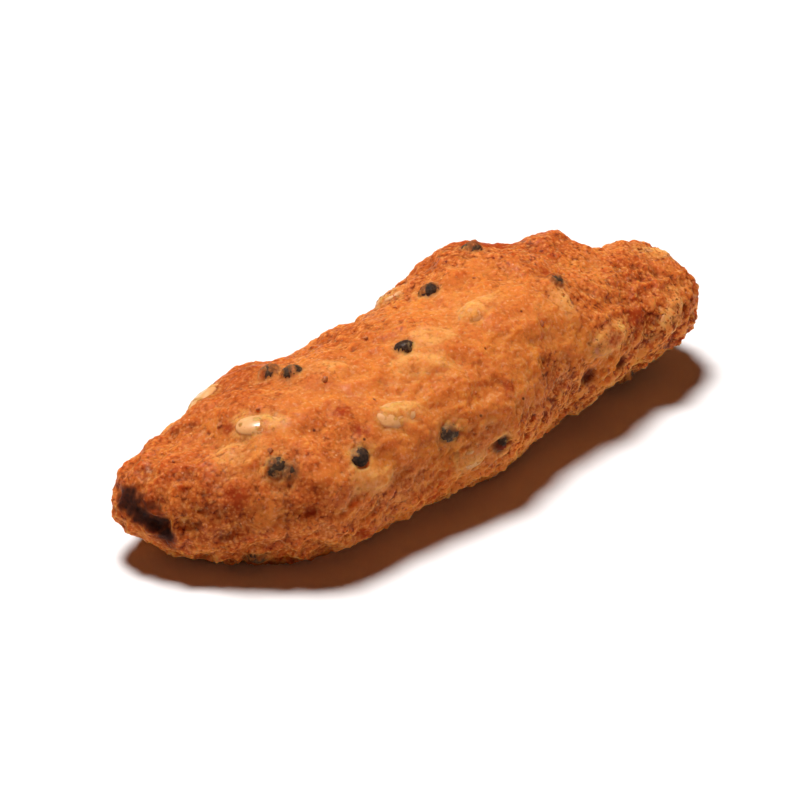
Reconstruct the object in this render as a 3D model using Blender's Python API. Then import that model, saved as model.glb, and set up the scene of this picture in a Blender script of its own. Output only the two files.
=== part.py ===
"""A fried sesame stick, lying on its flattest side, as one solid.

It is a bent, flattened roll of seeded dough with a lumpy, craggy crust. Its
sesame and poppy seeds are sunk in the crust and fused to it. Metres, +Z
up, +X along the stick from its scorched end to its ragged end. The origin is
under the middle of the stick, on the surface that it lies on.
"""

import math
import random

import bmesh
import bpy
from mathutils import Matrix, Vector, noise

MM = 0.001

# The roll. Lengths are in millimetres until the mesh is made.
LENGTH = 45.0
SQUARENESS = 2.25  # the section's superellipse exponent: 2 is an ellipse
SINK = 0.45  # how much of the underside the surface presses flat
PRESSED = 0.15  # crust that comes this near to the surface lies flat on it

# Share along, half width, half thickness, sideways offset, lift of the underside.
STATIONS = (
    (0.00, 2.0, 2.0, -0.3, 2.4),
    (0.10, 4.6, 3.7, -1.1, 1.1),
    (0.22, 7.6, 5.0, -1.6, 0.2),
    (0.40, 7.5, 5.4, -0.8, 0.0),
    (0.55, 7.7, 5.7, 0.2, 0.0),
    (0.66, 7.2, 5.7, 2.1, 0.2),
    (0.78, 5.9, 4.9, 2.4, 0.8),
    (0.89, 4.9, 3.7, 2.8, 1.7),
    (1.00, 2.9, 2.9, 2.8, 2.3),
)
TIP_ROUNDING = (3.0, 2.2)  # how far in from each tip the roll is rounded off

# The crust: height of each size of lump, and the size itself.
LUMPS = ((0.55, 7.5), (0.36, 3.4), (0.24, 1.6), (0.12, 0.8))
CRAGS = (0.42, 1.5)
LUMP_SEED = 11.7

# Single bumps and dents: share along, degrees round, height, spread.
FEATURES = (
    (0.822, 52, 1.1, 2.0),  # the hump beside the notch
    (0.870, 55, -1.7, 1.2),  # the notch in the upper edge
    (0.930, 75, 0.6, 2.2),  # the lobe at the ragged end
    (0.130, 100, -0.5, 2.5),  # the shoulder behind the scorched tip
    (0.640, 60, 0.5, 4.0),  # the high side of the thick middle
    (0.330, 55, -0.35, 3.0),  # the saddle in the upper edge
    (0.751, 184, -0.7, 0.7),  # a pit under the big toasted seed
    (0.817, 187, -0.6, 0.6),  # a pit beside it
    (0.300, 146, -0.35, 1.0),  # hollows round the darkest poppy seeds
    (0.454, 159, -0.35, 1.0),
    (0.546, 183, -0.55, 0.7),
    (0.453, 98, -0.3, 1.0),
    (0.179, 132, -0.3, 0.9),
    (0.787, 160, 0.3, 2.0),  # the swell that the big toasted seed sits in
    (0.955, 160, 0.5, 1.8),  # the thick lip of the ragged end
)

# Small steps to read the roll's slope with.
SHARE_STEP = 0.002
ANGLE_STEP = 0.02

# Mesh of the roll: fine for the crust to be drawn on it, then thinned out.
AROUND = 150
RINGS = 250
KEPT_FACES = 7400  # about how many triangles the thinned roll has

# Seeds: length, width, thickness, and the sides and rings of each one's mesh.
SESAME = (3.1, 1.9, 0.9, 6, 4)
POPPY = (1.5, 1.3, 1.2, 6, 3)
ONION_FLAKE = (2.6, 1.8, 0.7, 6, 4)
POINTED = 0.3  # how much narrower than the middle a sesame seed's pointed end is
SIZE_SPREAD = 0.1  # seeds differ from their kind's size by up to this share
SEED_CLEARANCE = 0.05  # no seed reaches nearer than this to the resting surface

# Seeds on the front and top: share along, degrees round, heading, share sunk.
# The heading is the angle from the stick's length to the seed's.
FRONT_SESAME = (
    (0.187, 42, 15, 0.62),
    (0.195, 100, -34, 0.72),
    (0.150, 112, -30, 0.80),
    (0.385, 133, 2, 0.74),
    (0.593, 100, 18, 0.78),
    (0.727, 123, -88, 0.72),
    (0.787, 160, 5, 0.58),
    (0.918, 163, 38, 0.52),
    (0.945, 88, -9, 0.70),
    (0.498, 101, -2, 0.80),
    (0.462, 112, -28, 0.80),
    (0.338, 89, -34, 0.78),
    (0.310, 164, -18, 0.80),
    (0.537, 46, 0, 0.64),
)
FRONT_POPPY = (
    (0.179, 132, 0, 0.58),
    (0.192, 138, 40, 0.78),
    (0.300, 146, 30, 0.50),
    (0.454, 159, 0, 0.52),
    (0.546, 183, 60, 0.60),
    (0.453, 98, 0, 0.56),
    (0.271, 70, 10, 0.58),
    (0.292, 80, 0, 0.56),
    (0.563, 70, 10, 0.62),
    (0.669, 64, 0, 0.66),
    (0.736, 107, 0, 0.74),
    (0.155, 228, 0, 0.60),
)
FRONT_ONION = ((0.490, 183, -3, 0.62),)

# Seeds out of that view are strewn by a seeded draw over the rest of the crust.
STREWN_SEED = 33
STREWN_SHARES = (0.07, 0.95)
STREWN_DEGREES = (-118, 12)
STREWN_SUNK = (0.45, 0.72)
STREWN_GAP = 2.6  # least distance between the middles of two strewn seeds
STREWN_COUNTS = (14, 14)  # sesame, poppy
LOWEST_STREWN = 1.3  # strewn seeds stay this far above the resting surface


def blend_stations(share, column):
    """One column of STATIONS at a share along, on a smooth Catmull-Rom curve."""
    last = len(STATIONS) - 1
    k = next((i for i in range(last) if share <= STATIONS[i + 1][0]), last - 1)
    rows = [STATIONS[max(0, min(last, i))] for i in range(k - 1, k + 3)]
    before, start, end, after = rows
    span = end[0] - start[0]
    at = (share - start[0]) / span
    slope_in = (end[column] - before[column]) / max(end[0] - before[0], 1e-6) * span
    slope_out = (after[column] - start[column]) / max(after[0] - start[0], 1e-6) * span
    return (
        (2 * at**3 - 3 * at**2 + 1) * start[column]
        + (at**3 - 2 * at**2 + at) * slope_in
        + (3 * at**2 - 2 * at**3) * end[column]
        + (at**3 - at**2) * slope_out
    )


def tip_factor(share):
    """How much of the full section is left this near to a tip."""
    inset = min(share * LENGTH / TIP_ROUNDING[0], (1 - share) * LENGTH / TIP_ROUNDING[1], 1.0)
    return math.sqrt(max(0.0, 1 - (1 - inset) ** 2))


def centre_line(share):
    """The middle of the section at a share along."""
    thick = blend_stations(share, 2)
    lift = blend_stations(share, 4)
    return Vector(((share - 0.5) * LENGTH, blend_stations(share, 3), thick + lift - SINK))


def on_roll(share, angle):
    """A point of the smooth roll. The angle runs from +Y over the top to -Y."""
    fit = tip_factor(share)
    wide = blend_stations(share, 1) * fit
    thick = blend_stations(share, 2) * fit
    c, s = math.cos(angle), math.sin(angle)
    power = 2 / SQUARENESS
    across = math.copysign(abs(c) ** power, c) * wide
    up = math.copysign(abs(s) ** power, s) * thick
    return centre_line(share) + Vector((0, across, up))


def ragged(point):
    """How craggy the crust is at a point, from 0 to 1: most so low down and at the ends."""
    low = 1 - min(1.0, max(0.0, point.z / 6.0))
    end = max(0.0, abs(point.x) / (LENGTH / 2) - 0.55) / 0.45
    return min(1.0, 0.25 + 0.6 * low + 0.6 * end)


def crust_height(point, features):
    """How far the crust stands out of the smooth roll at a point."""
    height = 0.0
    for level, (tall, size) in enumerate(LUMPS):
        shift = Vector((LUMP_SEED, 3.1 * level, 0))
        height += tall * noise.noise(point / size + shift)
    tall, size = CRAGS
    fold = 1 - 2 * abs(noise.noise(point / size + Vector((0, 0, LUMP_SEED))))
    height += tall * ragged(point) * (fold - 0.6)
    for place, tall, spread in features:
        height += tall * math.exp(-((point - place).length_squared) / spread**2)
    return height


def placed_features():
    """The single bumps and dents, each with its point on the roll."""
    return [
        (on_roll(share, math.radians(degrees)), tall, spread)
        for share, degrees, tall, spread in FEATURES
    ]


def make_roll():
    """The dough alone, as a bmesh in millimetres: a UV sphere drawn out into the roll."""
    roll = bmesh.new()
    bmesh.ops.create_uvsphere(roll, u_segments=AROUND, v_segments=RINGS, radius=1.0)
    for vertex in roll.verts:
        share = (1 + max(-1.0, min(1.0, vertex.co.z))) / 2
        vertex.co = on_roll(share, math.atan2(vertex.co.y, vertex.co.x))
    roll.normal_update()
    if roll.calc_volume(signed=True) < 0:
        bmesh.ops.reverse_faces(roll, faces=roll.faces)
        roll.normal_update()
    features = placed_features()
    moves = [(v, v.normal * crust_height(v.co, features)) for v in roll.verts]
    for vertex, move in moves:
        vertex.co += move
    for vertex in roll.verts:
        vertex.co.z = max(vertex.co.z, 0.0)
    return roll


def seat(share, degrees, features):
    """The crust's point and its outward normal at a share along and an angle round."""
    angle = math.radians(degrees)
    point = on_roll(share, angle)
    along = on_roll(share + SHARE_STEP, angle) - on_roll(share - SHARE_STEP, angle)
    around = on_roll(share, angle + ANGLE_STEP) - on_roll(share, angle - ANGLE_STEP)
    normal = around.cross(along).normalized()
    return point + normal * crust_height(point, features), normal


def strewn_places():
    """Places for the seeds out of the front view: share, degrees, heading, share sunk."""
    draw = random.Random(STREWN_SEED)
    places, taken = [], []
    while len(places) < sum(STREWN_COUNTS):
        share, degrees = draw.uniform(*STREWN_SHARES), draw.uniform(*STREWN_DEGREES)
        heading, sunk = draw.uniform(-90, 90), draw.uniform(*STREWN_SUNK)
        point = on_roll(share, math.radians(degrees))
        near = any((point - other).length < STREWN_GAP for other in taken)
        if near or point.z < LOWEST_STREWN:
            continue
        places.append((share, degrees, heading, sunk))
        taken.append(point)
    return places[: STREWN_COUNTS[0]], places[STREWN_COUNTS[0] :]


def make_seed(kind, place, scale, pointed, features):
    """One seed as a bmesh in millimetres, sunk in the crust at its place."""
    length, width, thick, sides, rings = kind
    share, degrees, heading, sunk = place
    point, normal = seat(share, degrees, features)
    along = (Vector((1, 0, 0)) - normal * normal.x).normalized()
    turn = Matrix.Rotation(math.radians(heading), 3, normal)
    axis = turn @ along
    frame = Matrix((axis, normal.cross(axis), normal)).transposed()
    centre = point + normal * thick * scale * (0.5 - sunk)
    seed = bmesh.new()
    bmesh.ops.create_uvsphere(seed, u_segments=sides, v_segments=rings, radius=0.5)
    for vertex in seed.verts:
        across, up, run = vertex.co
        narrow = 1 - pointed * (0.5 + run)
        local = Vector((run * length, across * width * narrow, up * thick * narrow))
        vertex.co = centre + frame @ (local * scale)
        vertex.co.z = max(vertex.co.z, SEED_CLEARANCE)
    return seed


def thin_out(obj):
    """Leaves the object only as many triangles as its relief needs, on a flat base."""
    thin = obj.modifiers.new("thin", "DECIMATE")
    thin.ratio = KEPT_FACES / (2 * len(obj.data.polygons))
    bpy.context.view_layer.objects.active = obj
    bpy.ops.object.modifier_apply(modifier=thin.name)
    for vertex in obj.data.vertices:
        if vertex.co.z < PRESSED:
            vertex.co.z = 0.0


def link_mesh(name, shape, collection):
    """A bmesh turned into an object in a collection."""
    mesh = bpy.data.meshes.new(name)
    bmesh.ops.recalc_face_normals(shape, faces=shape.faces)
    shape.to_mesh(mesh)
    shape.free()
    obj = bpy.data.objects.new(name, mesh)
    collection.objects.link(obj)
    return obj


def make_seeds(collection):
    """Every seed and flake that stands out of the crust."""
    draw = random.Random(STREWN_SEED + 1)
    features = placed_features()
    more_sesame, more_poppy = strewn_places()
    kinds = (
        ("sesame", SESAME, [*FRONT_SESAME, *more_sesame], POINTED),
        ("poppy", POPPY, [*FRONT_POPPY, *more_poppy], 0.0),
        ("onion", ONION_FLAKE, FRONT_ONION, 0.0),
    )
    for name, kind, places, pointed in kinds:
        for number, place in enumerate(places):
            scale = 1 + draw.uniform(-SIZE_SPREAD, SIZE_SPREAD)
            seed = make_seed(kind, place, scale, pointed, features)
            link_mesh(f"{name}_{number}", seed, collection)


def fuse(stick, collection):
    """The stick joined with all that is in a collection, which is then removed."""
    join = stick.modifiers.new("seeds", "BOOLEAN")
    join.operation = "UNION"
    join.operand_type = "COLLECTION"
    join.collection = collection
    join.solver = "EXACT"
    bpy.context.view_layer.objects.active = stick
    bpy.ops.object.modifier_apply(modifier=join.name)
    for obj in list(collection.objects):
        bpy.data.objects.remove(obj, do_unlink=True)
    bpy.data.collections.remove(collection)


def clear_scene():
    for obj in list(bpy.data.objects):
        bpy.data.objects.remove(obj, do_unlink=True)


def crust_material():
    material = bpy.data.materials.new("fried_crust")
    material.use_nodes = True
    finish = material.node_tree.nodes["Principled BSDF"]
    finish.inputs["Base Color"].default_value = (0.56, 0.20, 0.055, 1)
    finish.inputs["Roughness"].default_value = 0.55
    finish.inputs["Metallic"].default_value = 0.0
    return material


def new_collection(name):
    collection = bpy.data.collections.new(name)
    bpy.context.scene.collection.children.link(collection)
    return collection


def main():
    clear_scene()
    stick = link_mesh("sesame_stick", make_roll(), new_collection("sesame_stick"))
    thin_out(stick)
    seeds = new_collection("seeds_to_fuse")
    make_seeds(seeds)
    fuse(stick, seeds)
    stick.data.transform(Matrix.Scale(MM, 4))
    stick.data.materials.clear()
    stick.data.materials.append(crust_material())


main()
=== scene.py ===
"""The looks of a fried sesame stick: grainy dough, set seeds, a scorched tip, and a pale studio."""

import math
import random
from collections import namedtuple

import bmesh
import bpy
import numpy as np
from mathutils import Matrix, Vector, noise


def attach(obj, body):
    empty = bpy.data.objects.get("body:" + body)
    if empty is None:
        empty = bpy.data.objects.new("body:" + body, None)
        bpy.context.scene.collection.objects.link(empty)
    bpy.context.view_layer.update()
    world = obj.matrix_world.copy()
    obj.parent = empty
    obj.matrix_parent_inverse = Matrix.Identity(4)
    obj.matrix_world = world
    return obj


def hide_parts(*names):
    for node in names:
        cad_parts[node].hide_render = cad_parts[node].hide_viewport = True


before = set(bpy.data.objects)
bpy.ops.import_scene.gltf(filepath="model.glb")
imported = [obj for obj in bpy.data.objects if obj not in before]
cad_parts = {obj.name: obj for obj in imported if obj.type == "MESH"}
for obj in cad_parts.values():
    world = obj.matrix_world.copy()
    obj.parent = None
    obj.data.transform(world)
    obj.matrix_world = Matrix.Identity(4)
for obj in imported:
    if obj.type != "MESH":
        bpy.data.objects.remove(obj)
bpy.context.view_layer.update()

MM = 0.001

# ---------------------------------------------------------------- the roll's form
# All lengths are millimetres until a mesh is made.
LENGTH = 45.0
SQUARENESS = 2.25
SINK = 0.45
STATIONS = (
    (0.00, 2.0, 2.0, -0.3, 2.4),
    (0.10, 4.6, 3.7, -1.1, 1.1),
    (0.22, 7.6, 5.0, -1.6, 0.2),
    (0.40, 7.5, 5.4, -0.8, 0.0),
    (0.55, 7.7, 5.7, 0.2, 0.0),
    (0.66, 7.2, 5.7, 2.1, 0.2),
    (0.78, 5.9, 4.9, 2.4, 0.8),
    (0.89, 4.9, 3.7, 2.8, 1.7),
    (1.00, 2.9, 2.9, 2.8, 2.3),
)
TIP_ROUNDING = (3.0, 2.2)
LUMPS = ((0.55, 7.5), (0.36, 3.4), (0.24, 1.6), (0.12, 0.8))
CRAGS = (0.42, 1.5)
LUMP_SEED = 11.7
FEATURES = (
    (0.822, 52, 1.1, 2.0),
    (0.870, 55, -1.7, 1.2),
    (0.930, 75, 0.6, 2.2),
    (0.130, 100, -0.5, 2.5),
    (0.640, 60, 0.5, 4.0),
    (0.330, 55, -0.35, 3.0),
    (0.751, 184, -0.7, 0.7),
    (0.817, 187, -0.6, 0.6),
    (0.300, 146, -0.35, 1.0),
    (0.454, 159, -0.35, 1.0),
    (0.546, 183, -0.55, 0.7),
    (0.453, 98, -0.3, 1.0),
    (0.179, 132, -0.3, 0.9),
    (0.787, 160, 0.3, 2.0),
    (0.955, 160, 0.5, 1.8),
)
SHARE_STEP = 0.002
ANGLE_STEP = 0.02

# ---------------------------------------------------------------- the seeds
SESAME = (3.1, 1.9, 0.9)
POPPY = (1.5, 1.3, 1.2)
ONION_FLAKE = (2.6, 1.8, 0.7)
POINTED = 0.3
SIZE_SPREAD = 0.1
SEED_CLEARANCE = 0.05

# Share along, degrees round, heading, share sunk, how much dough film covers it (-1 bare,
# 0 broken, 1 covered), how pale the dough is round it, and how toasted a sesame seed is.
FRONT_SESAME = (
    (0.187, 42, 15, 0.62, -0.9, 0.2, 0.1),
    (0.195, 100, -34, 0.72, -0.7, 0.9, 0.1),
    (0.150, 112, -30, 0.80, 0.9, 0.4, 0.3),
    (0.385, 133, 2, 0.74, -0.5, 0.2, 0.0),
    (0.593, 100, 18, 0.78, 0.2, 0.4, 0.5),
    (0.727, 123, -88, 0.72, 0.5, 0.2, 0.2),
    (0.787, 160, 5, 0.58, 0.5, 1.0, 1.0),
    (0.918, 163, 38, 0.52, 0.7, 1.0, 0.5),
    (0.945, 88, -9, 0.70, -0.2, 0.2, 0.7),
    (0.498, 101, -2, 0.80, 0.9, 0.8, 0.3),
    (0.462, 112, -28, 0.80, 0.9, 0.8, 0.5),
    (0.338, 89, -34, 0.78, 0.8, 0.4, 0.3),
    (0.310, 164, -18, 0.80, 0.9, 0.7, 0.4),
    (0.537, 46, 0, 0.64, 0.0, 0.2, 0.2),
)
FRONT_POPPY = (
    (0.179, 132, 0, 0.58, 0.3, 0.6),
    (0.192, 138, 40, 0.78, 0.7, 0.2),
    (0.300, 146, 30, 0.50, -0.3, 1.0),
    (0.454, 159, 0, 0.52, 0.0, 0.6),
    (0.546, 183, 60, 0.60, -0.1, 0.8),
    (0.453, 98, 0, 0.56, -0.4, 0.3),
    (0.271, 70, 10, 0.58, 0.5, 0.3),
    (0.292, 80, 0, 0.56, 0.2, 0.3),
    (0.563, 70, 10, 0.62, 0.0, 0.2),
    (0.669, 64, 0, 0.66, 0.6, 0.2),
    (0.736, 107, 0, 0.74, 0.8, 0.2),
    (0.155, 228, 0, 0.60, 0.0, 0.3),
)
FRONT_ONION = ((0.490, 183, -3, 0.62, 0.3, 0.6, 0.3),)
STREWN_SEED = 33
STREWN_SHARES = (0.07, 0.95)
STREWN_DEGREES = (-118, 12)
STREWN_SUNK = (0.45, 0.72)
STREWN_GAP = 2.6
STREWN_FILM = (-0.7, 0.9)
STREWN_HALO = (0.1, 0.8)
STREWN_TOAST = (0, 0.7)
STREWN_COUNTS = (14, 14)
LOWEST_STREWN = 1.3

# ---------------------------------------------------------------- the fine surface
VOXEL = 0.155  # mesh size of the fine dough
ROLL_SEGMENTS = (150, 250)  # round and along, before the mesh is evened out

GRANULES = ((0.09, 0.95), (0.11, 0.50), (0.12, 0.32))  # height and size of the crumbly grains
GRAIN_TALL = 0.13  # the height that counts as a full grain in the painted light on grain tops and the painted shade in the creases
GRAIN_RISE = 0.45  # a grain's top, in heights
GRAIN_FALL = 1.4  # how steeply it falls away to the creases
GRAIN_BEND = 0.35  # how far the creases wander
GRAIN_SEED = 7  # for that bend, which would otherwise change from run to run
GRAIN_DRIFT = 0.5  # how much the tops differ
ROUGH_PATCHES = 2.6  # size of the rougher patches
ROUGH_BASE = 0.5
ROUGH_PATCH = 0.25
ROUGH_CRAG = 0.55
ROUGH_SIDE = 0.35  # added where the smoother crust faces sideways
CALM_TOWARDS_TIP = (0, -14, 0.35)  # from x, to x, and the share of the grain lost there
ROUGH_LOW_DOWN = (8.5, 4, 0.3)  # from height, to height, and the share gained there

PIT_SEED = 77
PIT_COUNT = 40
PIT_SHARES = (0.03, 0.97)
PIT_DEGREES = (-60, 240)
PIT_RADIUS = (0.15, 0.40)
PIT_POWER = 1.4  # makes small radii commoner
PIT_DEPTH = (0.5, 1.1)  # in radii
PIT_SHADE = 0.45  # how strongly the small pits are painted with shade, beside 1 for the large ones
LARGE_PIT = (-0.5, 1.0)  # a feature deeper and narrower than this counts among the large pits, which get full painted shade

CRUMB_SEED = 19
CRUMB_COUNT = 90
CRUMB_SHARES = (0.0, 0.98)
CRUMB_DEGREES = (-75, 255)
CRUMB_RADIUS = (0.07, 0.14)  # the smallest, and how much is added for the largest
LOWEST_CRUMB = 0.4

# How the dough meets a seed. Reaches are shares of the seed's half size, and the rest is
# millimetres or plain weights.
PRESS_REACH = 2.6  # the dough farther out than this stays as it is
PRESS_DEPTH = 1.6
EDGE_NOISE = ((1.0, 0.6), (0.6, 0.25))  # weight and size of the uneven edge of the film
SKIRT = 1.2  # how steeply the dough leaves the seed's edge
DIMPLE = 0.12  # how far the dough sinks round a bare seed
RIM = (0.04, 1.2, 0.3)  # height, reach and width of the low rim round a seed
LAP = 0.03  # how far the dough stays under the seed's surface where no film covers it

# For each kind: how pointed the seed is, the film's thickness, how far it sinks, what the uneven
# edge and the grain add to it, how softly the dough runs up, how fast its colour fades as it gets
# thicker, the reach where the film is whole and where the pale ring ends, and its mask.
Cover = namedtuple("Cover", "pointed film sag wander grain fillet fade whole ring mask")
SESAME_COVER = Cover(POINTED, 0.07, 0.0, 0.09, 0.2, 0.15, 0.22, 0.95, 1.6, "film")
POPPY_COVER = Cover(0.0, 0.10, 0.02, 0.17, 0.7, 0.075, 0.35, 0.6, 2.1, "veil")

# ---------------------------------------------------------------- the coloured places
SCORCH_END = 0.07
SPOT_NOISE = ((0.6, 0.9), (0.5, 0.35))  # weight and size of the uneven edge of a place
SPOT_EDGE = (1.6, 0.4)  # where a place starts to show, and where it is full, in reaches
# Coloured places by kind: share along, degrees round, reach.
SPOTS = {
    "scorch": (
        (0.008, 100, 0.75),
        (0.012, 130, 0.85),
        (0.018, 158, 0.9),
        (0.028, 180, 0.85),
        (0.040, 196, 0.7),
    ),
    "red": (
        (0.310, 115, 0.45),
        (0.317, 131, 0.45),
        (0.206, 171, 0.4),
        (0.160, 90, 0.5),
        (0.715, 48, 1.6),
        (0.672, 58, 1.0),
        (0.735, 100, 0.6),
        (0.785, 161, 0.6),
        (0.850, 150, 0.7),
        (0.120, 150, 0.8),
        (0.570, 150, 0.5),
        (0.420, 200, 0.9),
        (0.300, 205, 0.9),
    ),
    "sunny": (
        (0.435, 140, 2.0),
        (0.457, 180, 1.4),
        (0.320, 163, 1.3),
        (0.612, 162, 2.0),
        (0.710, 152, 1.6),
        (0.786, 178, 1.6),
        (0.225, 112, 1.0),
        (0.240, 148, 1.0),
        (0.154, 170, 1.2),
        (0.572, 122, 1.2),
    ),
    # Darker places: the dough's own brown, with painted shade along the back crest.
    "browned_and_shaded": (
        (0.223, 45, 3.0),
        (0.210, 82, 2.4),
        (0.283, 48, 3.0),
        (0.193, 162, 1.5),
        (0.700, 62, 2.4),
        (0.635, 58, 2.2),
        (0.425, 60, 2.3),
        (0.500, 48, 2.4),
        (0.570, 52, 2.3),
        (0.736, 46, 2.2),
        (0.785, 70, 1.8),
        (0.300, 176, 1.0),
        (0.605, 180, 1.5),
        (0.655, 174, 1.9),
        (0.700, 178, 1.7),
        (0.890, 118, 2.0),
    ),
}


def blend_stations(share, column):
    """One column of STATIONS at a share along, on a smooth Catmull-Rom curve."""
    last = len(STATIONS) - 1
    k = next((i for i in range(last) if share <= STATIONS[i + 1][0]), last - 1)
    before, start, end, after = [STATIONS[max(0, min(last, i))] for i in range(k - 1, k + 3)]
    span = end[0] - start[0]
    at = (share - start[0]) / span
    slope_in = (end[column] - before[column]) / max(end[0] - before[0], 1e-6) * span
    slope_out = (after[column] - start[column]) / max(after[0] - start[0], 1e-6) * span
    return (
        (2 * at**3 - 3 * at**2 + 1) * start[column]
        + (at**3 - 2 * at**2 + at) * slope_in
        + (3 * at**2 - 2 * at**3) * end[column]
        + (at**3 - at**2) * slope_out
    )


def tip_factor(share):
    """How much of the full section is left this near to a tip."""
    inset = min(share * LENGTH / TIP_ROUNDING[0], (1 - share) * LENGTH / TIP_ROUNDING[1], 1.0)
    return math.sqrt(max(0.0, 1 - (1 - inset) ** 2))


def centre_line(share):
    """The middle of the section at a share along."""
    up = blend_stations(share, 2) + blend_stations(share, 4) - SINK
    return Vector(((share - 0.5) * LENGTH, blend_stations(share, 3), up))


def on_roll(share, angle):
    """A point of the smooth roll. The angle runs from +Y over the top to -Y."""
    fit = tip_factor(share)
    c, s = math.cos(angle), math.sin(angle)
    power = 2 / SQUARENESS
    across = math.copysign(abs(c) ** power, c) * blend_stations(share, 1) * fit
    up = math.copysign(abs(s) ** power, s) * blend_stations(share, 2) * fit
    return centre_line(share) + Vector((0, across, up))


def ragged(point):
    """How craggy the crust is at a point, from 0 to 1: most so low down and at the ends."""
    low = 1 - min(1.0, max(0.0, point.z / 6.0))
    end = max(0.0, abs(point.x) / (LENGTH / 2) - 0.55) / 0.45
    return min(1.0, 0.25 + 0.6 * low + 0.6 * end)


def crust_height(point, features):
    """How far the crust stands out of the smooth roll at a point."""
    height = 0.0
    for level, (tall, size) in enumerate(LUMPS):
        height += tall * noise.noise(point / size + Vector((LUMP_SEED, 3.1 * level, 0)))
    tall, size = CRAGS
    fold = 1 - 2 * abs(noise.noise(point / size + Vector((0, 0, LUMP_SEED))))
    height += tall * ragged(point) * (fold - 0.6)
    for place, tall, spread in features:
        height += tall * math.exp(-((point - place).length_squared) / spread**2)
    return height


def placed_features():
    """The single bumps and dents, each with its point on the roll."""
    return [(on_roll(s, math.radians(d)), tall, spread) for s, d, tall, spread in FEATURES]


def seat(share, degrees, features):
    """The crust's point and its outward normal at a share along and an angle round."""
    angle = math.radians(degrees)
    point = on_roll(share, angle)
    along = on_roll(share + SHARE_STEP, angle) - on_roll(share - SHARE_STEP, angle)
    around = on_roll(share, angle + ANGLE_STEP) - on_roll(share, angle - ANGLE_STEP)
    normal = around.cross(along).normalized()
    return point + normal * crust_height(point, features), normal


def strewn_places():
    """Places for the seeds out of the front view: share, degrees, heading, share sunk."""
    draw = random.Random(STREWN_SEED)
    places = []
    taken = []
    while len(places) < sum(STREWN_COUNTS):
        share = draw.uniform(*STREWN_SHARES)
        degrees = draw.uniform(*STREWN_DEGREES)
        heading = draw.uniform(-90, 90)
        sunk = draw.uniform(*STREWN_SUNK)
        point = on_roll(share, math.radians(degrees))
        near = any((point - other).length < STREWN_GAP for other in taken)
        if near or point.z < LOWEST_STREWN:
            continue
        places.append((share, degrees, heading, sunk))
        taken.append(point)
    return places[: STREWN_COUNTS[0]], places[STREWN_COUNTS[0] :]


class Seed:
    """Where one seed lies, how it is turned, and how the dough treats it."""

    def __init__(self, kind, place, scale, features):
        self.length, self.width, self.thick = (size * scale for size in kind)
        share, degrees, heading, self.sunk, self.film, self.halo, *toast = place
        self.shade = toast[0] if toast else self.film / 2 + 0.5
        point, normal = seat(share, degrees, features)
        along = (Vector((1, 0, 0)) - normal * normal.x).normalized()
        axis = Matrix.Rotation(math.radians(heading), 3, normal) @ along
        self.seat, self.normal = point, normal
        self.frame = Matrix((axis, normal.cross(axis), normal)).transposed()
        self.rise = self.thick * (0.5 - self.sunk)
        self.centre = point + normal * self.rise


def all_seeds(features):
    """Every sesame seed, poppy seed and flake, in the solid's own order and sizes."""
    sizes = random.Random(STREWN_SEED + 1)
    dress = random.Random(STREWN_SEED + 2)

    def dressed(place):
        film = dress.uniform(*STREWN_FILM)
        halo = dress.uniform(*STREWN_HALO)
        toast = dress.uniform(*STREWN_TOAST)
        return (*place, film, halo, toast)

    more_sesame, more_poppy = ([dressed(place) for place in places] for places in strewn_places())
    kinds = (
        (SESAME, [*FRONT_SESAME, *more_sesame]),
        (POPPY, [*FRONT_POPPY, *more_poppy]),
        (ONION_FLAKE, FRONT_ONION),
    )
    return [
        [Seed(kind, place, 1 + sizes.uniform(-SIZE_SPREAD, SIZE_SPREAD), features) for place in places]
        for kind, places in kinds
    ]


# ---------------------------------------------------------------- mesh helpers
def to_object(name, mesh):
    """A millimetre mesh placed in the scene in metres."""
    mesh.transform(Matrix.Scale(MM, 4))
    mesh.shade_smooth()
    obj = bpy.data.objects.new(name, mesh)
    bpy.context.scene.collection.objects.link(obj)
    return obj


def smooth_step(low, high, value):
    at = np.clip((value - low) / (high - low), 0, 1)
    return at * at * (3 - 2 * at)


def each(points, reading):
    """An array of a reading taken at each point."""
    return np.array([reading(Vector(point)) for point in points])


def write_mask(mesh, name, values):
    layer = mesh.attributes.new(name, "FLOAT", "POINT")
    layer.data.foreach_set("value", np.clip(values, -1, 1).astype(np.float32))


def even_roll():
    """The smooth roll as an evenly divided mesh."""
    roll = bmesh.new()
    bmesh.ops.create_uvsphere(roll, u_segments=ROLL_SEGMENTS[0], v_segments=ROLL_SEGMENTS[1], radius=1.0)
    for vertex in roll.verts:
        share = (1 + max(-1.0, min(1.0, vertex.co.z))) / 2
        vertex.co = on_roll(share, math.atan2(vertex.co.y, vertex.co.x))
    bmesh.ops.recalc_face_normals(roll, faces=roll.faces)
    rough = bpy.data.meshes.new("rough_roll")
    roll.to_mesh(rough)
    roll.free()
    holder = bpy.data.objects.new("rough_roll", rough)
    bpy.context.scene.collection.objects.link(holder)
    remesh = holder.modifiers.new("even", "REMESH")
    remesh.mode = "VOXEL"
    remesh.voxel_size = VOXEL
    view = bpy.context.evaluated_depsgraph_get()
    mesh = bpy.data.meshes.new_from_object(holder.evaluated_get(view))
    bpy.data.objects.remove(holder, do_unlink=True)
    bpy.data.meshes.remove(rough)
    return mesh


# ---------------------------------------------------------------- the dough
def layered_noise(point, layers, drift=Vector()):
    """A sum of noises, each with its weight and size."""
    return sum(weight * noise.noise(point / size + drift) for weight, size in layers)


def granule(point, size):
    """Rounded grains, uneven in size, with creases between them, about 0 on average."""
    at = point / size
    nearest = noise.voronoi(at + GRAIN_BEND * noise.noise_vector(at * 0.8))[0][0]
    return GRAIN_RISE - GRAIN_FALL * nearest**2 + GRAIN_DRIFT * noise.noise(at * 0.6)


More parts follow.
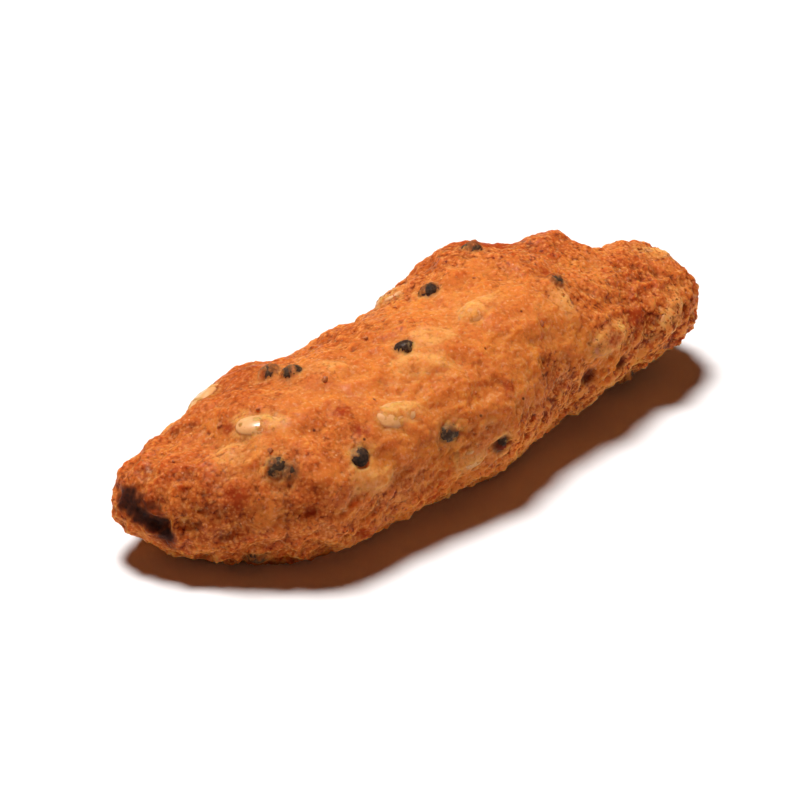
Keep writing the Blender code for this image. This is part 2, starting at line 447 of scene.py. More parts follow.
def fine_relief(points, facing_up):
    """Grains in millimetres, on top of the solid's own lumps: coarser where the crust is craggy."""
    offset = Vector((5, 1, 8))
    patch = each(points, lambda p: noise.noise(p / ROUGH_PATCHES + offset))
    craggy = each(points, ragged)
    rough = ROUGH_BASE + ROUGH_PATCH * smooth_step(-0.3, 0.4, patch)
    rough += ROUGH_CRAG * craggy * (1.15 - 0.65 * facing_up)
    rough += ROUGH_SIDE * (1 - craggy) * (1 - facing_up)
    start, end, lost = CALM_TOWARDS_TIP
    rough *= 1 - lost * smooth_step(start, end, points[:, 0])
    start, end, gained = ROUGH_LOW_DOWN
    rough *= 1 + gained * smooth_step(start, end, points[:, 2])
    relief = np.zeros(len(points))
    for tall, size in GRANULES:
        offset = Vector((size * 31, 4, 2))
        relief += tall * rough * each(points, lambda p: granule(p + offset, size))
    return relief


def pit_spots(features):
    """Small holes burst by the frying: point, radius, depth."""
    draw = random.Random(PIT_SEED)
    spots = []
    for _ in range(PIT_COUNT):
        share = draw.uniform(*PIT_SHARES)
        degrees = draw.uniform(*PIT_DEGREES)
        radius = draw.uniform(*PIT_RADIUS) ** PIT_POWER
        depth = radius * draw.uniform(*PIT_DEPTH)
        spots.append((seat(share, degrees, features)[0], radius, depth))
    return spots


def sink_pits(points, relief, masks, features):
    """Sinks the small pits into the relief, and marks them and the large ones for painted shade."""
    for spot, radius, depth in pit_spots(features):
        away = np.linalg.norm(points - np.array(spot), axis=1) / radius + 0.5 * masks["grain"]
        hollow = np.exp(-(np.clip(away, 0, 9) ** 3))
        relief -= depth * hollow
        masks["pit"] = np.maximum(masks["pit"], PIT_SHADE * hollow)
    for share, degrees, tall, spread in FEATURES:
        if tall < LARGE_PIT[0] and spread < LARGE_PIT[1]:
            place = np.array(seat(share, degrees, features)[0])
            away = np.linalg.norm(points - place, axis=1) / spread
            masks["pit"] = np.maximum(masks["pit"], np.exp(-(away**2)))


def press_seed(points, seed, cover, masks, relief):
    """Draws the dough up over and round one seed. Returns the moves along the seed's normal."""
    local = (points - np.array(seed.seat)) @ np.array(seed.frame)
    narrow = 1 - cover.pointed * (0.5 + np.clip(local[:, 0] / seed.length, -0.5, 0.5))
    across = local[:, 1] / (seed.width / 2 * narrow)
    reach = np.sqrt((local[:, 0] / (seed.length / 2)) ** 2 + across**2)
    near = (reach < PRESS_REACH) & (np.abs(local[:, 2]) < PRESS_DEPTH)
    index = np.nonzero(near)[0]
    reach, level = reach[near], local[near][:, 2]
    drift = seed.seat * 3.7
    wander = each(points[index], lambda p: layered_noise(p, EDGE_NOISE, drift))
    edge = reach + 0.3 * wander

    dome = seed.rise + seed.thick / 2 * np.sqrt(np.clip(1 - reach**2, 0, 1))
    dome = dome - SKIRT * np.clip(reach - 1, 0, 9)
    bare = 0.5 - 0.5 * seed.film
    ground = level - bare * DIMPLE * smooth_step(1.3, 0.8, edge)
    rim_height, rim_reach, rim_width = RIM
    ground = ground + rim_height * np.exp(-(((reach - rim_reach) / rim_width) ** 2))
    film = cover.film * seed.film - cover.sag + cover.wander * wander + cover.grain * relief[index]
    gap = dome + film - LAP - ground
    raised = ground + (gap + np.sqrt(gap**2 + cover.fillet**2)) / 2

    thin = np.exp(-np.clip(raised - dome, 0, 9) / cover.fade)
    thin *= smooth_step(1.4, cover.whole, edge) * smooth_step(-1.1, 0.1, wander)
    ring = smooth_step(cover.ring, 0.9, reach + 0.5 * wander) * seed.halo
    for name, values in ((cover.mask, thin), ("ring", ring)):
        masks[name][index] = np.maximum(masks[name][index], values)
    return index, raised - level


def mark_spots(points, masks, features):
    """Fills the masks of the coloured places."""
    uneven = each(points, lambda p: layered_noise(p, SPOT_NOISE))
    for name, spots in SPOTS.items():
        for share, degrees, reach in spots:
            place = np.array(seat(share, degrees, features)[0])
            away = np.linalg.norm(points - place, axis=1) / reach + uneven
            masks[name] = np.maximum(masks[name], smooth_step(*SPOT_EDGE, away))


def make_dough(sesame, poppy, onion, features):
    """The dough with its fine crust, and masks for its colours."""
    mesh = even_roll()
    count = len(mesh.vertices)
    points, normals = np.empty(count * 3, np.float32), np.empty(count * 3, np.float32)
    mesh.vertices.foreach_get("co", points)
    mesh.vertex_normals.foreach_get("vector", normals)
    points, normals = points.reshape(-1, 3).astype(float), normals.reshape(-1, 3).astype(float)
    points = points + normals * each(points, lambda p: crust_height(p, features))[:, None]
    masks = {name: np.zeros(count) for name in ("film", "veil", "ring", "pit", "grain", *SPOTS)}
    relief = fine_relief(points, np.clip(normals[:, 2], 0, 1))
    masks["grain"] = relief / GRAIN_TALL
    sink_pits(points, relief, masks, features)
    points = points + normals * relief[:, None]
    for seeds, cover in ((sesame, SESAME_COVER), (onion, SESAME_COVER), (poppy, POPPY_COVER)):
        for seed in seeds:
            index, lift = press_seed(points, seed, cover, masks, relief)
            points[index] += lift[:, None] * np.array(seed.normal)
    mark_spots(points, masks, features)
    points[:, 2] = np.maximum(points[:, 2], 0.0)
    mesh.vertices.foreach_set("co", points.astype(np.float32).ravel())
    mesh.update()
    for name, values in masks.items():
        write_mask(mesh, name, values)
    return to_object("dough", mesh)


# ---------------------------------------------------------------- seeds, flake, crumbs
def new_shape():
    """An empty bmesh whose points carry a shade."""
    shape = bmesh.new()
    shape.verts.layers.float.new("shade")
    return shape


def shape_points(shape, made, form, shade):
    """Moves each new point by form(point) and gives it a shade."""
    layer = shape.verts.layers.float["shade"]
    for vertex in made["verts"]:
        vertex.co = form(vertex.co.copy())
        vertex[layer] = shade


def finish_joined(name, shape):
    """One object from many joined bodies."""
    bmesh.ops.recalc_face_normals(shape, faces=shape.faces)
    mesh = bpy.data.meshes.new(name)
    shape.to_mesh(mesh)
    shape.free()
    return to_object(name, mesh)


def lay(seed, local):
    """A point in a seed's own axes, placed on the stick and kept off the surface below."""
    point = seed.centre + seed.frame @ local
    point.z = max(point.z, SEED_CLEARANCE)
    return point


def make_set_seeds(name, seeds, segments, form):
    """One object of seeds that lie in the dough, each a ball shaped by form(unit, seed, number)."""
    shape = new_shape()
    for number, seed in enumerate(seeds):
        around, along = segments
        made = bmesh.ops.create_uvsphere(shape, u_segments=around, v_segments=along, radius=1.0)
        shape_points(shape, made, lambda unit: lay(seed, form(unit, seed, number)), seed.shade)
    return finish_joined(name, shape)


def half_size(unit, length, width, thick):
    """A point of the unit ball, with its axis laid along the seed, at half the seed's size."""
    return Vector((unit.z * length, unit.x * width, unit.y * thick)) / 2


def sesame_form(unit, seed, number):
    """Plump and pointed, each a little uneven, with a faint ridge round the edge."""
    narrow = 1 - POINTED * (0.5 + unit.z / 2) - 0.06 * max(0.0, unit.z) ** 3
    swell = 1 + 0.05 * noise.noise(unit * 1.7 + Vector((number * 3.7, 1.3, 0)))
    ridge = 1 + 0.04 * math.exp(-((unit.y / 0.22) ** 2))
    return half_size(unit, seed.length, seed.width * narrow * ridge, seed.thick * narrow) * swell


def poppy_form(unit, seed, number):
    """Kidney-shaped, with a netted skin."""
    cells = noise.voronoi(unit * 2.3 + Vector((number * 2.3, 0, 4.1)))[0]
    net = 1 - min(1.0, (cells[1] - cells[0]) / 0.28)
    waist = 1 - 0.16 * math.exp(-((unit.z / 0.4) ** 2)) * max(0.0, unit.x)
    return half_size(unit, seed.length, seed.width, seed.thick) * waist * (0.95 + 0.07 * net)


def flake_form(unit, seed, _):
    """Thin and curled."""
    bent = 0.18 * unit.z**2 + 0.12 * noise.noise(unit * 1.5)
    return half_size(unit, seed.length, seed.width, seed.thick) - Vector((0, 0, bent))


def make_crumbs(features):
    """Crumbs baked onto the crust, mostly low down and at the ends."""
    draw = random.Random(CRUMB_SEED)
    shape = new_shape()
    left = CRUMB_COUNT
    while left:
        share = draw.uniform(*CRUMB_SHARES)
        degrees = draw.uniform(*CRUMB_DEGREES)
        point, normal = seat(share, degrees, features)
        unlikely = draw.random() > 0.25 + 0.75 * ragged(point)
        if unlikely or point.z < LOWEST_CRUMB or share < SCORCH_END:
            continue
        smallest, added = CRUMB_RADIUS
        size = smallest + added * draw.random() ** 2
        drift = Vector((left * 1.9, 0, 0))

        def form(ball):
            uneven = 1 + 0.9 * noise.noise(ball / size * 0.9 + drift)
            lump = point + ball * uneven + normal * size * 0.1
            lump.z = max(lump.z, SEED_CLEARANCE)
            return lump

        made = bmesh.ops.create_icosphere(shape, subdivisions=2, radius=size)
        shape_points(shape, made, form, draw.random())
        left -= 1
    return finish_joined("crumbs", shape)


# ---------------------------------------------------------------- node helpers
class Board:
    """A node tree, with short ways to add and wire its nodes."""

    def __init__(self, tree):
        self.tree = tree

    def add(self, kind, **settings):
        node = self.tree.nodes.new(kind)
        for key, value in settings.items():
            setattr(node, key, value)
        return node

    def feed(self, socket, value):
        """Wires an output to a socket, or sets the socket to a plain value."""
        if isinstance(value, bpy.types.NodeSocket):
            self.tree.links.new(value, socket)
        else:
            socket.default_value = value

    def math(self, operation, a, b=0.0, clamp=False):
        node = self.add("ShaderNodeMath", operation=operation, use_clamp=clamp)
        self.feed(node.inputs[0], a)
        self.feed(node.inputs[1], b)
        return node.outputs[0]

    def times(self, a, b):
        return self.math("MULTIPLY", a, b)

    def total(self, *terms):
        """The sum of some values, each times its weight, kept between 0 and 1."""
        added = 0.0
        for value, weight in terms:
            added = self.math("ADD", self.times(value, weight), added)
        return self.math("ADD", added, 0.0, clamp=True)

    def span(self, value, low, high, out_low=0.0, out_high=1.0):
        """A smooth step of a value from low to high, kept inside the two outer values."""
        node = self.add("ShaderNodeMapRange", interpolation_type="SMOOTHSTEP")
        self.feed(node.inputs["Value"], value)
        node.inputs["From Min"].default_value = low
        node.inputs["From Max"].default_value = high
        node.inputs["To Min"].default_value = out_low
        node.inputs["To Max"].default_value = out_high
        return node.outputs["Result"]

    def mix(self, amount, a, b):
        """One colour turned into another by an amount. The colour sockets go by number."""
        node = self.add("ShaderNodeMix", data_type="RGBA")
        self.feed(node.inputs["Factor"], amount)
        self.feed(node.inputs[6], a)
        self.feed(node.inputs[7], b)
        return node.outputs[2]

    def place(self):
        """The point on the object, in millimetres."""
        node = self.add("ShaderNodeVectorMath", operation="SCALE")
        self.feed(node.inputs[0], self.add("ShaderNodeTexCoord").outputs["Object"])
        node.inputs["Scale"].default_value = 1 / MM
        return node.outputs[0]

    def shift(self, place, offset):
        """A place moved by an offset, so that no two layers of noise agree."""
        node = self.add("ShaderNodeVectorMath", operation="ADD")
        self.feed(node.inputs[0], place)
        node.inputs[1].default_value = offset
        return node.outputs[0]

    def noise(self, place, size, detail, offset=None):
        node = self.add("ShaderNodeTexNoise")
        self.feed(node.inputs["Vector"], self.shift(place, offset) if offset else place)
        self.feed(node.inputs["Scale"], 1 / size)
        node.inputs["Detail"].default_value = detail
        return node.outputs["Fac"]

    def cells(self, place, size, output="Distance"):
        node = self.add("ShaderNodeTexVoronoi", feature="F1")
        self.feed(node.inputs["Vector"], place)
        self.feed(node.inputs["Scale"], 1 / size)
        return node.outputs[output]

    def rare_specks(self, place, offset, gap, size, skipped):
        """Small round specks, one or none to each cell of a loose grid."""
        moved = self.shift(place, offset)
        pick = self.add("ShaderNodeSeparateColor")
        self.feed(pick.inputs[0], self.cells(moved, gap, output="Color"))
        kept = self.span(pick.outputs[0], skipped, skipped + 0.02)
        return self.times(self.span(self.cells(moved, gap), size, size * 0.45), kept)

    def mask(self, name):
        return self.add("ShaderNodeAttribute", attribute_name=name).outputs["Fac"]

    def use(self, group, **values):
        """A node group with its inputs set by name, and _ for each space."""
        node = self.add("ShaderNodeGroup", node_tree=group)
        for key, value in values.items():
            self.feed(node.inputs[key.replace("_", " ")], value)
        return node.outputs


FLOAT, COLOUR, VECTOR = "NodeSocketFloat", "NodeSocketColor", "NodeSocketVector"


def new_group(name, inputs, outputs):
    """A shader node group with named sockets. Returns the tree, its board, its inputs and its end."""
    tree = bpy.data.node_groups.new(name, "ShaderNodeTree")
    for label, kind, value in inputs:
        socket = tree.interface.new_socket(label, in_out="INPUT", socket_type=kind)
        if value is not None:
            socket.default_value = value
    for label, kind in outputs:
        tree.interface.new_socket(label, in_out="OUTPUT", socket_type=kind)
    board = Board(tree)
    start, end = board.add("NodeGroupInput"), board.add("NodeGroupOutput")
    return tree, board, start.outputs, end.inputs


def oil_group():
    """Uneven oil: where it is wet the skin is smoother and takes a thin coat."""
    inputs = (
        ("Place", VECTOR, None),
        ("Patch Size", FLOAT, 2.2),
        ("Dry", FLOAT, 0.6),
        ("Wet", FLOAT, 0.32),
        ("Coat", FLOAT, 0.4),
    )
    outputs = (("Roughness", FLOAT), ("Coat", FLOAT))
    tree, board, given, end = new_group("oil_film", inputs, outputs)
    broad = board.add("ShaderNodeTexNoise")
    board.feed(broad.inputs["Vector"], given["Place"])
    board.feed(broad.inputs["Scale"], board.math("DIVIDE", 1.0, given["Patch Size"]))
    broad.inputs["Detail"].default_value = 3.0
    speck = board.noise(given["Place"], 0.28, 2.0)
    both = board.math("ADD", broad.outputs["Fac"], board.times(speck, 0.35))
    wet = board.span(both, 0.58, 0.82)
    change = board.math("SUBTRACT", given["Wet"], given["Dry"])
    board.feed(end["Roughness"], board.math("ADD", given["Dry"], board.times(change, wet)))
    board.feed(end["Coat"], board.times(given["Coat"], wet))
    return tree


def mottle_group():
    """Soft patches and fine flecks that lighten and darken a colour."""
    inputs = (
        ("Place", VECTOR, None),
        ("Colour", COLOUR, (0.5, 0.3, 0.1, 1)),
        ("Light", COLOUR, (0.8, 0.5, 0.2, 1)),
        ("Dark", COLOUR, (0.2, 0.06, 0.02, 1)),
        ("Size", FLOAT, 1.0),
        ("Amount", FLOAT, 0.5),
    )
    tree, board, given, end = new_group("mottle", inputs, (("Colour", COLOUR),))

    def layer(size, offset, detail):
        node = board.add("ShaderNodeTexNoise")
        board.feed(node.inputs["Vector"], board.shift(given["Place"], offset))
        board.feed(node.inputs["Scale"], board.math("DIVIDE", 1 / size, given["Size"]))
        node.inputs["Detail"].default_value = detail
        return node.outputs["Fac"]

    soft, fine = layer(3.2, (3, 7, 1), 2.0), layer(0.45, (1, 2, 9), 3.0)
    both = board.math("ADD", board.times(soft, 0.5), board.times(fine, 0.5))
    lighter = board.times(board.span(both, 0.5, 0.68), given["Amount"])
    darker = board.times(board.span(both, 0.5, 0.34), given["Amount"])
    lit = board.mix(lighter, given["Colour"], given["Light"])
    board.feed(end["Colour"], board.mix(darker, lit, given["Dark"]))
    return tree


def grain_group():
    """Fine grain height, about 0 to 1, from rough noise and tiny rounded cells."""
    inputs = (("Place", VECTOR, None), ("Size", FLOAT, 0.5), ("Cells", FLOAT, 0.4))
    tree, board, given, end = new_group("fine_grain", inputs, (("Height", FLOAT),))
    scale = board.math("DIVIDE", 1.0, given["Size"])
    rough = board.add("ShaderNodeTexNoise")
    board.feed(rough.inputs["Vector"], given["Place"])
    board.feed(rough.inputs["Scale"], scale)
    rough.inputs["Detail"].default_value = 5.0
    rough.inputs["Roughness"].default_value = 0.68
    cell = board.add("ShaderNodeTexVoronoi", feature="F1")
    board.feed(cell.inputs["Vector"], given["Place"])
    board.feed(cell.inputs["Scale"], board.times(scale, 1.7))
    domes = board.times(board.math("SUBTRACT", 0.5, cell.outputs["Distance"]), given["Cells"])
    board.feed(end["Height"], board.math("ADD", domes, rough.outputs["Fac"]))
    return tree


def new_material(name, rough=0.5, specular=0.5, coat_rough=0.2):
    material = bpy.data.materials.new(name)
    material.use_nodes = True
    board = Board(material.node_tree)
    shader = material.node_tree.nodes["Principled BSDF"]
    shader.inputs["Roughness"].default_value = rough
    shader.inputs["Specular IOR Level"].default_value = specular
    shader.inputs["Coat Roughness"].default_value = coat_rough
    return material, board, shader


def set_skin(board, shader, colour, oily, height, depth_mm):
    """Wires the colour, the oil and the fine relief to the shader."""
    board.feed(shader.inputs["Base Color"], colour)
    board.feed(shader.inputs["Roughness"], oily["Roughness"])
    board.feed(shader.inputs["Coat Weight"], oily["Coat"])
    bump = board.add("ShaderNodeBump")
    bump.inputs["Strength"].default_value = 1.0
    bump.inputs["Distance"].default_value = depth_mm * MM
    board.feed(bump.inputs["Height"], height)
    board.feed(shader.inputs["Normal"], bump.outputs["Normal"])


def set_translucence(shader, weight, reach_mm, radius):
    shader.inputs["Subsurface Weight"].default_value = weight
    shader.inputs["Subsurface Scale"].default_value = reach_mm * MM
    shader.inputs["Subsurface Radius"].default_value = radius


# ---------------------------------------------------------------- materials
GOLDEN = (0.72, 0.205, 0.038, 1)
DEEP_ORANGE = (0.47, 0.086, 0.012, 1)
SUNNY = (0.88, 0.29, 0.042, 1)
PALE_GOLD = (0.85, 0.32, 0.075, 1)
# The colour of the painted glints.
PAINTED_GLINT = (0.90, 0.48, 0.22, 1)
RED_BROWN = (0.17, 0.026, 0.005, 1)
RED_SPOT = (0.36, 0.045, 0.006, 1)
DARK_BROWN = (0.065, 0.014, 0.005, 1)
# Painted shade in the pits.
PAINTED_PIT_SHADE = (0.09, 0.010, 0.002, 1)
SCORCHED = (0.020, 0.007, 0.006, 1)
SEED_YELLOW = (0.92, 0.46, 0.13, 1)
GREY_OLIVE = (0.13, 0.065, 0.026, 1)
TOASTED = (0.52, 0.14, 0.028, 1)
DUSTY = (0.10, 0.055, 0.026, 1)
# The plain, the light and the dark tone of each mottled colour.
DOUGH_TONES = (GOLDEN, PALE_GOLD, DEEP_ORANGE)
SESAME_TONES = ((0.80, 0.38, 0.14, 1), (0.88, 0.52, 0.27, 1), (0.69, 0.28, 0.080, 1))
POPPY_TONES = ((0.050, 0.024, 0.014, 1), (0.22, 0.14, 0.065, 1), (0.008, 0.005, 0.004, 1))
ONION_TONES = ((0.66, 0.30, 0.075, 1), (0.80, 0.46, 0.16, 1), (0.42, 0.13, 0.03, 1))
CRUMB_TONES = ((0.55, 0.15, 0.032, 1), PALE_GOLD, RED_BROWN)


def mottled(board, mottle, place, tones, size, amount):
    """A mottled colour from a plain, a light and a dark tone."""
    plain, light, dark = tones
    group = board.use(mottle, Place=place, Colour=plain, Light=light, Dark=dark, Size=size, Amount=amount)
    return group["Colour"]


def browning_and_painted_shade(board, place, axes):
    """How brown and shaded the dough is, from 0 to 1: most low down, at the ends and at the back. The
    ends and the broad noise are the dough's own brown; the darkening low down and at the back is painted
    shade.
    """
    broad = board.noise(place, 4.5, 3.0, (4, 4, 4))
    return board.total(
        # painted shade: darker and redder low down
        (board.span(axes["Z"], 8.0, 0.5), 0.45),
        (board.span(board.math("ABSOLUTE", axes["X"]), 5.0, 20.0), 0.6),
        # painted shade: darker towards the back
        (board.span(axes["Y"], 0.0, 6.5), 0.4),
        (board.math("SUBTRACT", broad, 0.5), 2.0),
        (board.mask("browned_and_shaded"), 0.6),
        (board.mask("sunny"), -0.5),
    )


def dough_colour(board, mottle, place, browned_and_shaded):
    """The dough's broad colours: brown and painted shade, red-brown and sunny patches, and pale film on
    the seeds.
    """
    colour = mottled(board, mottle, place, DOUGH_TONES, 1.0, 0.6)
    # Brown and painted shade both turn the dough deep orange.
    colour = board.mix(board.times(browned_and_shaded, 0.85), colour, DEEP_ORANGE)
    patches = board.span(board.noise(place, 1.2, 4.0, (8, 1, 5)), 0.52, 0.72)
    patches = board.times(patches, board.span(browned_and_shaded, 0.0, 1.0, 0.08, 0.7))
    colour = board.mix(patches, colour, RED_BROWN)
    sunny = board.span(board.noise(place, 1.6, 4.0, (1, 9, 4)), 0.50, 0.74, 0.0, 0.6)
    sunny = board.times(sunny, board.span(browned_and_shaded, 1.0, 0.1, 0.3, 1.0))
    colour = board.mix(sunny, colour, SUNNY)
    colour = board.mix(board.times(board.mask("sunny"), 0.15), colour, SUNNY)
    ring, film = board.times(board.mask("ring"), 0.85), board.times(board.mask("film"), 0.85)
    worn = board.span(board.noise(place, 0.9, 3.0, (3, 5, 5)), 0.38, 0.6, 0.45, 1.0)
    thin = board.times(board.math("MAXIMUM", ring, film), worn)
    return board.mix(thin, colour, SEED_YELLOW)


def grain_colour_and_painted_light(board, place, browned_and_shaded, axes, crumb, colour):
    """The colours of single grains and flecks, with painted light on the tops of the bumps and grains,
    painted shade in their hollows and creases, and painted glints; livelier where the brown-and-shade
    mask is high, and low down.
    """
    towards_tip = board.span(axes["X"], 0.0, -14.0, 1.1, 0.65)
    # The painted light and shade on the grains grows stronger low down, standing in for light grazing the
    # low side.
    low_down = board.span(axes["Z"], 8.5, 4.0, 1.0, 1.75)
    lively = board.span(browned_and_shaded, 0.0, 0.6, 0.25, 1.05)
    lively = board.times(lively, board.times(towards_tip, low_down))
    grain = board.mask("grain")
    speckle = board.noise(place, 0.26, 1.0, (6, 6, 2))
    flecks = board.rare_specks(place, (7, 3, 1), gap=0.7, size=0.14, skipped=0.45)
    # How strong the painted glints are: weaker where the dough is brown and shaded.
    glint_amount = board.span(browned_and_shaded, 0.0, 0.8, 0.7, 0.5)
    layers = (
        # Painted light on the bumps' tops and painted shade in their hollows.
        (board.span(crumb, 0.50, 0.70, 0.0, 0.65), lively, PALE_GOLD),
        (board.span(crumb, 0.46, 0.28, 0.0, 0.85), lively, RED_BROWN),
        # Pale specks: painted glints.
        (board.span(speckle, 0.54, 0.72, 0.0, 0.45), glint_amount, PAINTED_GLINT),
        (board.span(speckle, 0.46, 0.28, 0.0, 0.6), lively, DEEP_ORANGE),
        # Rare round specks: painted glints.
        (flecks, 0.55, PAINTED_GLINT),
        # Painted light on the grain tops and painted shade in the creases.
        (board.span(grain, 0.15, 0.9, 0.0, 0.4), lively, PALE_GOLD),
        (board.span(grain, -0.2, -1.0, 0.0, 0.5), lively, RED_BROWN),
    )
    for amount, share, tone in layers:
        colour = board.mix(board.times(amount, share), colour, tone)
    return colour


def spot_colour(board, place, crumb, colour):
    """Red spots, grey dough over the poppy seeds, painted shade in the pits, dark specks and the scorched
    tip.
    """
    red = board.times(board.mask("red"), board.span(crumb, 0.65, 0.45, 0.5, 0.95))
    colour = board.mix(red, colour, RED_SPOT)
    broken = board.span(board.noise(place, 0.25, 2.0), 0.3, 0.55, 0.55, 1.0)
    colour = board.mix(board.times(board.mask("veil"), broken), colour, GREY_OLIVE)
    # Painted shade: the pits turn deep dark red.
    colour = board.mix(board.span(board.mask("pit"), 0.1, 0.75, 0.0, 0.95), colour, PAINTED_PIT_SHADE)
    specks = board.rare_specks(place, (2, 6, 3), gap=1.25, size=0.11, skipped=0.7)
    colour = board.mix(board.times(specks, 0.85), colour, DARK_BROWN)
    scorch = board.mask("scorch")
    uneven = board.times(board.math("SUBTRACT", crumb, 0.5), 0.6)
    burnt = board.math("ADD", scorch, board.times(uneven, board.span(scorch, 0.0, 0.2)))
    colour = board.mix(board.span(burnt, -0.2, 0.5, 0.0, 0.85), colour, RED_BROWN)
    colour = board.mix(board.span(burnt, 0.25, 0.9, 0.0, 0.9), colour, DARK_BROWN)
    return board.mix(board.span(burnt, 0.7, 1.2), colour, SCORCHED)


def dough_material(oil, mottle, grain):
    material, board, shader = new_material("fried_dough", specular=0.07, coat_rough=0.3)
    place = board.place()
    split = board.add("ShaderNodeSeparateXYZ")
    board.feed(split.inputs[0], place)
    axes = split.outputs
    browned_and_shaded = browning_and_painted_shade(board, place, axes)
    crumb = board.use(grain, Place=place, Size=0.42, Cells=0.4)["Height"]
    colour = dough_colour(board, mottle, place, browned_and_shaded)
    colour = grain_colour_and_painted_light(board, place, browned_and_shaded, axes, crumb, colour)
    colour = spot_colour(board, place, crumb, colour)
    oily = board.use(oil, Place=place, Patch_Size=2.4, Dry=0.75, Wet=0.45, Coat=0.06)
    set_skin(board, shader, colour, oily, crumb, depth_mm=0.085)
    set_translucence(shader, 0.75, 2.2, (1.0, 0.33, 0.11))
    return material


def sesame_material(oil, mottle, grain):
    material, board, shader = new_material("hulled_sesame", specular=0.3, coat_rough=0.2)
    place = board.place()
    tone = mottled(board, mottle, place, SESAME_TONES, 0.6, 0.6)
    colour = board.mix(board.span(board.mask("shade"), 0.1, 1.0, 0.0, 0.85), tone, TOASTED)
    oily = board.use(oil, Place=place, Patch_Size=1.0, Dry=0.5, Wet=0.3, Coat=0.4)
    height = board.use(grain, Place=place, Size=0.18, Cells=0.3)["Height"]
    set_skin(board, shader, colour, oily, height, depth_mm=0.012)
    set_translucence(shader, 0.25, 0.7, (1.0, 0.6, 0.35))
    return material


def poppy_material(oil, mottle, grain):
    material, board, shader = new_material("poppy_skin", specular=0.12, coat_rough=0.35)
    place = board.place()
    tone = mottled(board, mottle, place, POPPY_TONES, 0.5, 1.0)
    colour = board.mix(board.span(board.mask("shade"), 0.2, 1.0, 0.0, 0.5), tone, DUSTY)
    oily = board.use(oil, Place=place, Patch_Size=0.8, Dry=0.8, Wet=0.55, Coat=0.1)
    height = board.use(grain, Place=place, Size=0.22, Cells=0.8)["Height"]
    set_skin(board, shader, colour, oily, height, depth_mm=0.06)
    return material


def onion_material(oil, mottle, grain):
    material, board, shader = new_material("onion_skin", specular=0.5, coat_rough=0.15)
    place = board.place()
    colour = mottled(board, mottle, place, ONION_TONES, 0.6, 0.8)
    oily = board.use(oil, Place=place, Patch_Size=1.0, Dry=0.5, Wet=0.3, Coat=0.5)
    height = board.use(grain, Place=place, Size=0.2, Cells=0.4)["Height"]
    set_skin(board, shader, colour, oily, height, depth_mm=0.03)
    set_translucence(shader, 0.2, 0.6, (1.0, 0.5, 0.2))
    return material


def crumb_material(oil, mottle, grain):
    material, board, shader = new_material("crisp_crumb", specular=0.45, coat_rough=0.2)
    place = board.place()
    tone = mottled(board, mottle, place, CRUMB_TONES, 0.5, 0.8)
    colour = board.mix(board.span(board.mask("shade"), 0.5, 1.0, 0.0, 0.6), tone, RED_BROWN)
    oily = board.use(oil, Place=place, Patch_Size=1.5, Dry=0.6, Wet=0.35, Coat=0.4)
    height = board.use(grain, Place=place, Size=0.2, Cells=0.6)["Height"]
    set_skin(board, shader, colour, oily, height, depth_mm=0.04)
    return material


# ---------------------------------------------------------------- the studio
VIEW_AZIMUTH, VIEW_ELEVATION = -31.0, 33.0
VIEW_DISTANCE = 0.42
VIEW_LENS = 288.0
AIM = (-0.0011, 0.0004, 0.0050)

# Name, azimuth, elevation, distance and size in metres, watts, colour.
LIGHTS = (
    ("key", 196, 77, 0.9, 0.30, 11.35, (1.0, 0.985, 0.975)),
    ("front_fill", 26, 11, 1.2, 0.4, 1.27, (1.0, 0.60, 0.34)),
)
WHITE = (1, 1, 1, 1)
SKY_COLOUR = (1.0, 0.21, 0.07, 1)
SKY_STRENGTH = 0.030
BOARD_TONES = ((0.87, 0.865, 0.865, 1), (0.90, 0.90, 0.90, 1))
BOARD_FADE = (60.0, 400.0)  # how far out, in millimetres, the board turns plain white
BOARD_HALF = 3.0


def back_vector(azimuth, elevation):
    """The way from the aim towards something at that azimuth and elevation."""
    a, e = math.radians(azimuth), math.radians(elevation)
    return Vector((math.sin(a) * math.cos(e), -math.cos(a) * math.cos(e), math.sin(e)))


def make_camera():
    data = bpy.data.cameras.new("camera")
    data.lens = VIEW_LENS
    data.clip_start, data.clip_end = 0.01, 20.0
    camera = bpy.data.objects.new("camera", data)
    bpy.context.scene.collection.objects.link(camera)
    back = back_vector(VIEW_AZIMUTH, VIEW_ELEVATION)
    camera.location = Vector(AIM) + back * VIEW_DISTANCE
    camera.rotation_euler = (-back).to_track_quat("-Z", "Y").to_euler()
    bpy.context.scene.camera = camera


def make_light(name, azimuth, elevation, distance, size, watts, colour):
    data = bpy.data.lights.new(name, "AREA")
    data.shape = "DISK"
    data.size = size
    data.energy = watts
    data.color = colour
    lamp = bpy.data.objects.new(name, data)
    bpy.context.scene.collection.objects.link(lamp)
    way = back_vector(azimuth, elevation)
    lamp.location = way * distance
    lamp.rotation_euler = (-way).to_track_quat("-Z", "Y").to_euler()


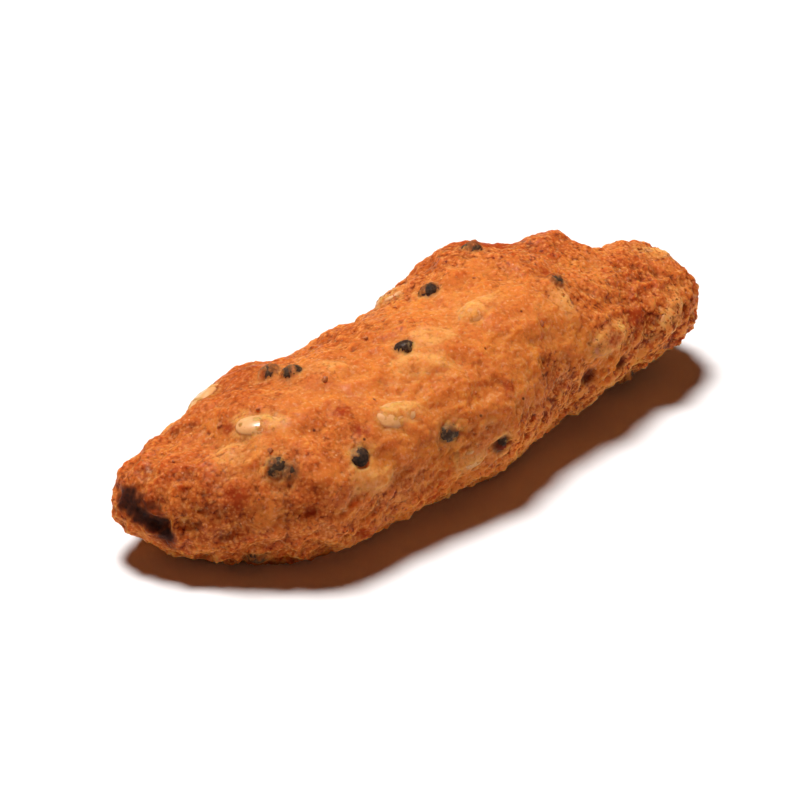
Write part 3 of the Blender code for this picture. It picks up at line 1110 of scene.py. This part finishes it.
def make_floor():
    """A pale board, which fades to plain white away from the object."""
    data = bpy.data.meshes.new("floor")
    shape = bmesh.new()
    bmesh.ops.create_grid(shape, x_segments=1, y_segments=1, size=BOARD_HALF)
    shape.to_mesh(data)
    shape.free()
    floor = bpy.data.objects.new("floor", data)
    bpy.context.scene.collection.objects.link(floor)
    material, board, shader = new_material("pale_board", rough=0.55, specular=0.3)
    tint = board.noise(board.place(), 40.0, 3.0)
    board.feed(shader.inputs["Base Color"], board.mix(tint, *BOARD_TONES))
    away = board.add("ShaderNodeVectorMath", operation="LENGTH")
    board.feed(away.inputs[0], board.place())
    seen = board.add("ShaderNodeLightPath").outputs["Is Camera Ray"]
    glow = board.times(board.span(away.outputs["Value"], *BOARD_FADE), seen)
    board.feed(shader.inputs["Emission Strength"], glow)
    shader.inputs["Emission Color"].default_value = WHITE
    data.materials.append(material)


def make_sky():
    """Plain white where the camera looks, and a weaker warm fill on the object."""
    world = bpy.data.worlds.new("studio")
    bpy.context.scene.world = world
    world.use_nodes = True
    board = Board(world.node_tree)
    fill = world.node_tree.nodes["Background"]
    fill.inputs["Color"].default_value = SKY_COLOUR
    fill.inputs["Strength"].default_value = SKY_STRENGTH
    seen = board.add("ShaderNodeBackground")
    seen.inputs["Color"].default_value = WHITE
    choose = board.add("ShaderNodeMixShader")
    board.feed(choose.inputs[0], board.add("ShaderNodeLightPath").outputs["Is Camera Ray"])
    board.feed(choose.inputs[1], fill.outputs[0])
    board.feed(choose.inputs[2], seen.outputs[0])
    board.feed(world.node_tree.nodes["World Output"].inputs[0], choose.outputs[0])


def make_studio():
    make_camera()
    make_floor()
    make_sky()
    for light in LIGHTS:
        make_light(*light)
    bpy.context.scene.view_settings.view_transform = "Standard"


def main():
    noise.seed_set(GRAIN_SEED)
    features = placed_features()
    sesame, poppy, onion = all_seeds(features)
    groups = oil_group(), mottle_group(), grain_group()
    pieces = (
        (make_dough(sesame, poppy, onion, features), dough_material, "fried_crust"),
        (make_set_seeds("sesame_seeds", sesame, (28, 18), sesame_form), sesame_material, "sesame_seed"),
        (make_set_seeds("poppy_seeds", poppy, (30, 20), poppy_form), poppy_material, "poppy_seed"),
        (make_set_seeds("onion_flake", onion, (32, 20), flake_form), onion_material, "onion_flake"),
        (make_crumbs(features), crumb_material, "fried_crust"),
    )
    for piece, finish, slot in pieces:
        piece.data.materials.append(finish(*groups))
        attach(piece, "root")
        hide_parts("sesame_stick")
    make_studio()


main()
